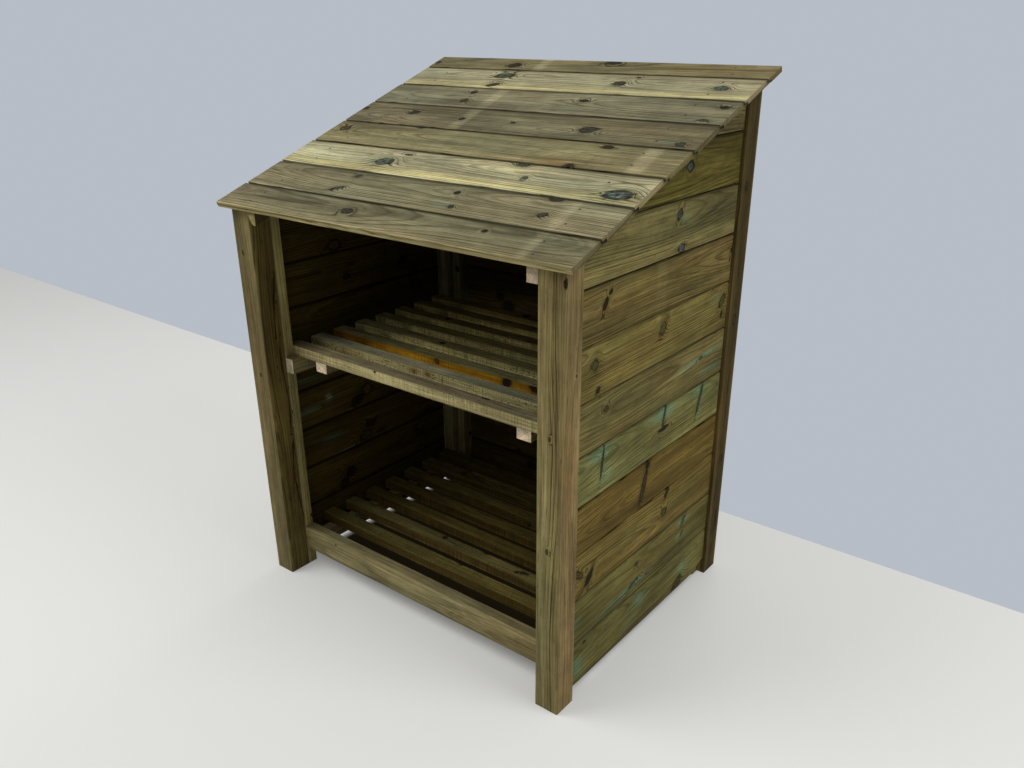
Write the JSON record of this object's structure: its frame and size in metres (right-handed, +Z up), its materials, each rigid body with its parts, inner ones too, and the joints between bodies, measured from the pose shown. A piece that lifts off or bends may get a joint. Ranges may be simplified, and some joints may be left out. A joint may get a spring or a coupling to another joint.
{
  "type": "log store",
  "caption": "Free-standing treated timber log store with a sloping boarded roof, shiplap sides and back, open front, slatted floor and slatted middle shelf.",
  "frame": {"origin": "on the ground under the middle of the store's outline, roof included", "axes": "+X to the right seen from the open front, +Y to the back, +Z up"},
  "size_m": [0.982, 0.7812, 1.26],
  "materials": {
    "posts": "planed treated softwood",
    "roof_boards": "planed treated softwood",
    "wall_boards": "planed treated softwood",
    "battens": "sawn treated softwood",
    "slats": "sawn treated softwood"
  },
  "bodies": {
    "root": {"front_left_post": "posts", "front_right_post": "posts", "back_left_post": "posts", "back_right_post": "posts", "left_rafter": "battens", "right_rafter": "battens", "roof_board_1": "roof_boards", "roof_board_2": "roof_boards", "roof_board_3": "roof_boards", "roof_board_4": "roof_boards", "roof_board_5": "roof_boards", "roof_board_6": "roof_boards", "roof_board_7": "roof_boards", "roof_board_8": "roof_boards", "right_board_01": "wall_boards", "right_board_02": "wall_boards", "right_board_03": "wall_boards", "right_board_04": "wall_boards", "right_board_05": "wall_boards", "right_board_06": "wall_boards", "right_board_07": "wall_boards", "right_board_08": "wall_boards", "right_board_09": "wall_boards", "right_board_10": "wall_boards", "right_board_11": "wall_boards", "left_board_01": "wall_boards", "left_board_02": "wall_boards", "left_board_03": "wall_boards", "left_board_04": "wall_boards", "left_board_05": "wall_boards", "left_board_06": "wall_boards", "left_board_07": "wall_boards", "left_board_08": "wall_boards", "left_board_09": "wall_boards", "left_board_10": "wall_boards", "left_board_11": "wall_boards", "back_boards": "wall_boards", "side_wall_battens": "battens", "back_wall_battens": "battens", "front_rail": "posts", "floor_battens": "battens", "floor_slats": "slats", "shelf_battens": "battens", "shelf_bearers": "battens", "shelf_slats": "slats"}
  },
  "joints": []
}
